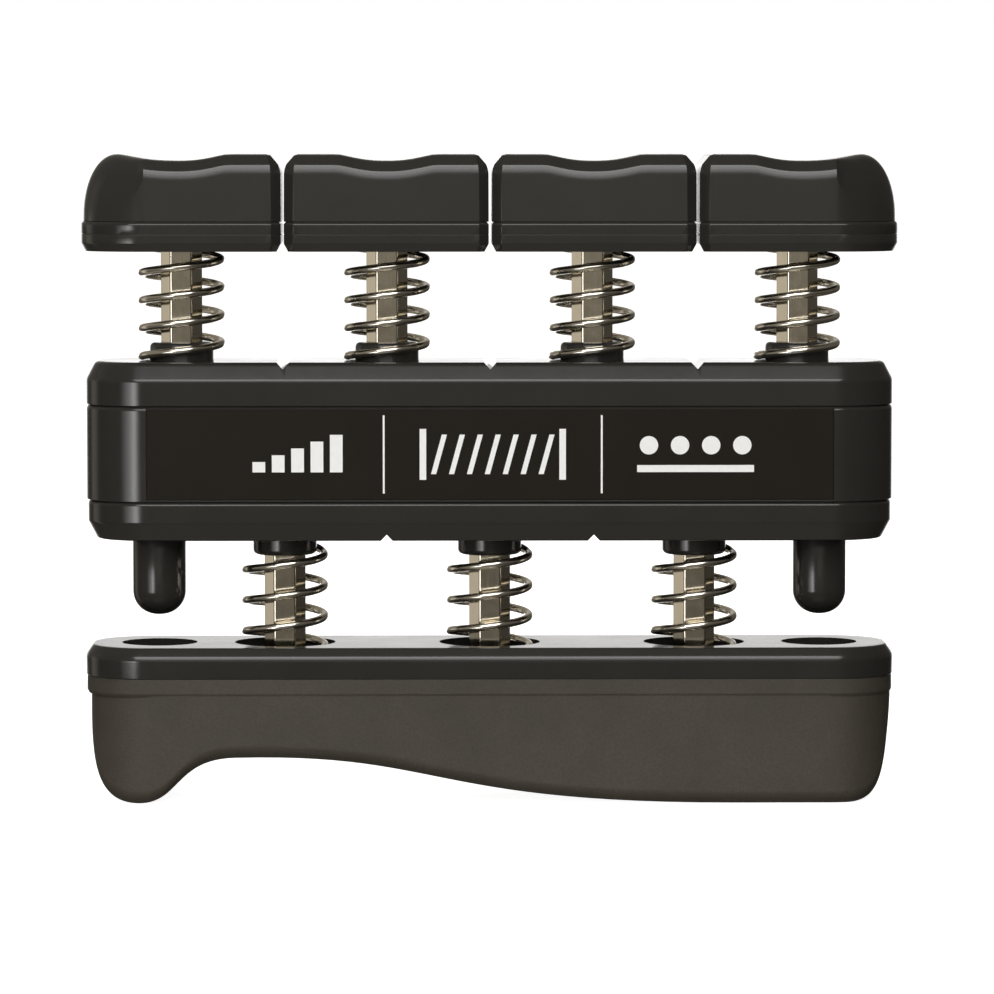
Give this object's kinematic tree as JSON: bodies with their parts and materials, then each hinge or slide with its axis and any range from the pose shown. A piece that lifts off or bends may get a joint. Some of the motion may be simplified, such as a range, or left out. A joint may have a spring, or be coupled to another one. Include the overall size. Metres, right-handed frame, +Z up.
{
  "type": "finger exerciser",
  "caption": "Hand-held finger and grip exerciser: sprung finger buttons over a guided housing that springs down onto a shaped palm grip.",
  "frame": {"origin": "middle of the footprint on the surface the palm grip stands on", "axes": "+Z up from the palm grip to the finger buttons, +X along the row of buttons, -Y out of the front with the label"},
  "size_m": [0.0874, 0.016, 0.0691],
  "materials": {
    "gloss_black": "glossy moulded black plastic",
    "grip": "fine-textured matte warm dark grey",
    "label": "satin brown-black printed film",
    "nickel": "bright warm nickel plate",
    "clip_steel": "dark spring steel"
  },
  "bodies": {
    "palm": {"palm_grip": "grip", "palm_plate": "gloss_black", "lower_post_1": "nickel", "lower_post_2": "nickel", "lower_post_3": "nickel", "lower_clip_1": "clip_steel", "lower_clip_2": "clip_steel", "lower_clip_3": "clip_steel"},
    "housing": {"housing_lower_cap": "gloss_black", "housing_centre": "gloss_black", "housing_upper_cap": "gloss_black", "front_label": "label", "guide_peg_left": "gloss_black", "guide_peg_right": "gloss_black", "lower_spring_1": "nickel", "lower_spring_2": "nickel", "lower_spring_3": "nickel"},
    "button_1": {"finger_button_cap_1": "gloss_black", "finger_button_base_1": "gloss_black", "upper_post_1": "nickel", "upper_clip_1": "clip_steel", "upper_spring_1": "nickel"},
    "button_2": {"finger_button_cap_2": "gloss_black", "finger_button_base_2": "gloss_black", "upper_post_2": "nickel", "upper_clip_2": "clip_steel", "upper_spring_2": "nickel"},
    "button_3": {"finger_button_cap_3": "gloss_black", "finger_button_base_3": "gloss_black", "upper_post_3": "nickel", "upper_clip_3": "clip_steel", "upper_spring_3": "nickel"},
    "button_4": {"finger_button_cap_4": "gloss_black", "finger_button_base_4": "gloss_black", "upper_post_4": "nickel", "upper_clip_4": "clip_steel", "upper_spring_4": "nickel"}
  },
  "joints": [
    {"name": "palm_squeeze", "type": "slide", "parent": "palm", "child": "housing", "axis": [0, 0, -1], "range_m": [0, 0.01], "stiffness_N_per_m": 9000, "springref_m": -0.003, "deforming": ["lower_spring_1", "lower_spring_2", "lower_spring_3"]},
    {"name": "press_1", "type": "slide", "parent": "housing", "child": "button_1", "axis": [0, 0, -1], "range_m": [0, 0.0095], "stiffness_N_per_m": 3000, "springref_m": -0.003, "deforming": ["upper_spring_1"]},
    {"name": "press_2", "type": "slide", "parent": "housing", "child": "button_2", "axis": [0, 0, -1], "range_m": [0, 0.0095], "stiffness_N_per_m": 3000, "springref_m": -0.003, "deforming": ["upper_spring_2"]},
    {"name": "press_3", "type": "slide", "parent": "housing", "child": "button_3", "axis": [0, 0, -1], "range_m": [0, 0.0095], "stiffness_N_per_m": 3000, "springref_m": -0.003, "deforming": ["upper_spring_3"]},
    {"name": "press_4", "type": "slide", "parent": "housing", "child": "button_4", "axis": [0, 0, -1], "range_m": [0, 0.0095], "stiffness_N_per_m": 3000, "springref_m": -0.003, "deforming": ["upper_spring_4"]}
  ]
}
